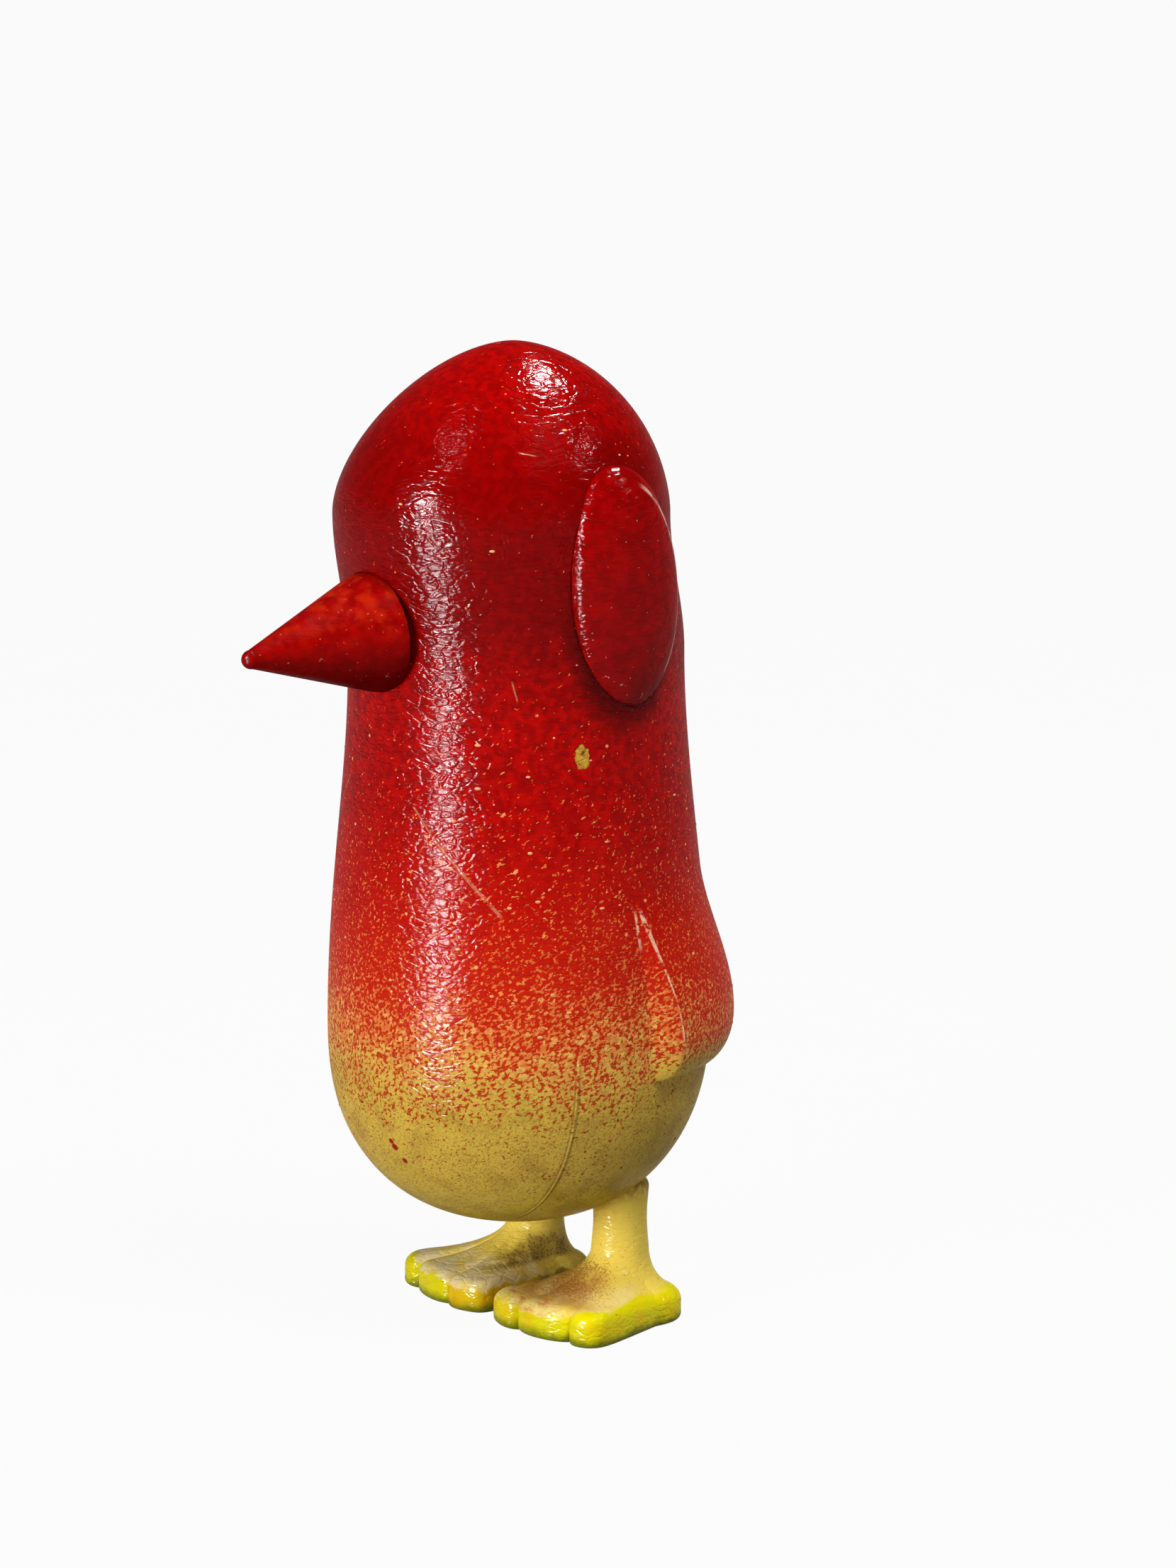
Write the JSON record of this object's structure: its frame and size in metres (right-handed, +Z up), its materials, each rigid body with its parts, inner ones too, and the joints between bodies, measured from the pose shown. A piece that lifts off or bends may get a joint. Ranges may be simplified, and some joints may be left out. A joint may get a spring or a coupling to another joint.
{
  "type": "standing bird figure",
  "caption": "Standing bird figure in glossy painted vinyl: pill-shaped body with cone beak, oval ears, moulded wings and swivel legs on webbed feet.",
  "frame": {"origin": "middle of the bounding box on the plane of the soles", "axes": "+Z up, the figure faces -Y, its left side is +X"},
  "size_m": [0.043, 0.0528, 0.1],
  "materials": {
    "body_paint": "glossy red paint fading through orange spatter to cream yellow at the base",
    "beak_paint": "glossy deep red paint",
    "ear_paint": "glossy deep red paint, worn at the rim",
    "leg_paint": "glossy cream yellow paint with lime yellow toes and brown spatter"
  },
  "bodies": {
    "figure": {"front_shell": "body_paint", "back_shell": "body_paint", "beak": "beak_paint", "left_ear": "ear_paint", "right_ear": "ear_paint"},
    "left_leg_body": {"left_leg": "leg_paint"},
    "right_leg_body": {"right_leg": "leg_paint"}
  },
  "joints": [
    {"name": "left_hip_swivel", "type": "hinge", "parent": "figure", "child": "left_leg_body", "pos_m": [0.0072, 0.01449, 0.0158], "axis": [0, 0, 1], "range_deg": [-4, 120]},
    {"name": "right_hip_swivel", "type": "hinge", "parent": "figure", "child": "right_leg_body", "pos_m": [-0.0072, 0.01449, 0.0158], "axis": [0, 0, -1], "range_deg": [-4, 120]}
  ]
}
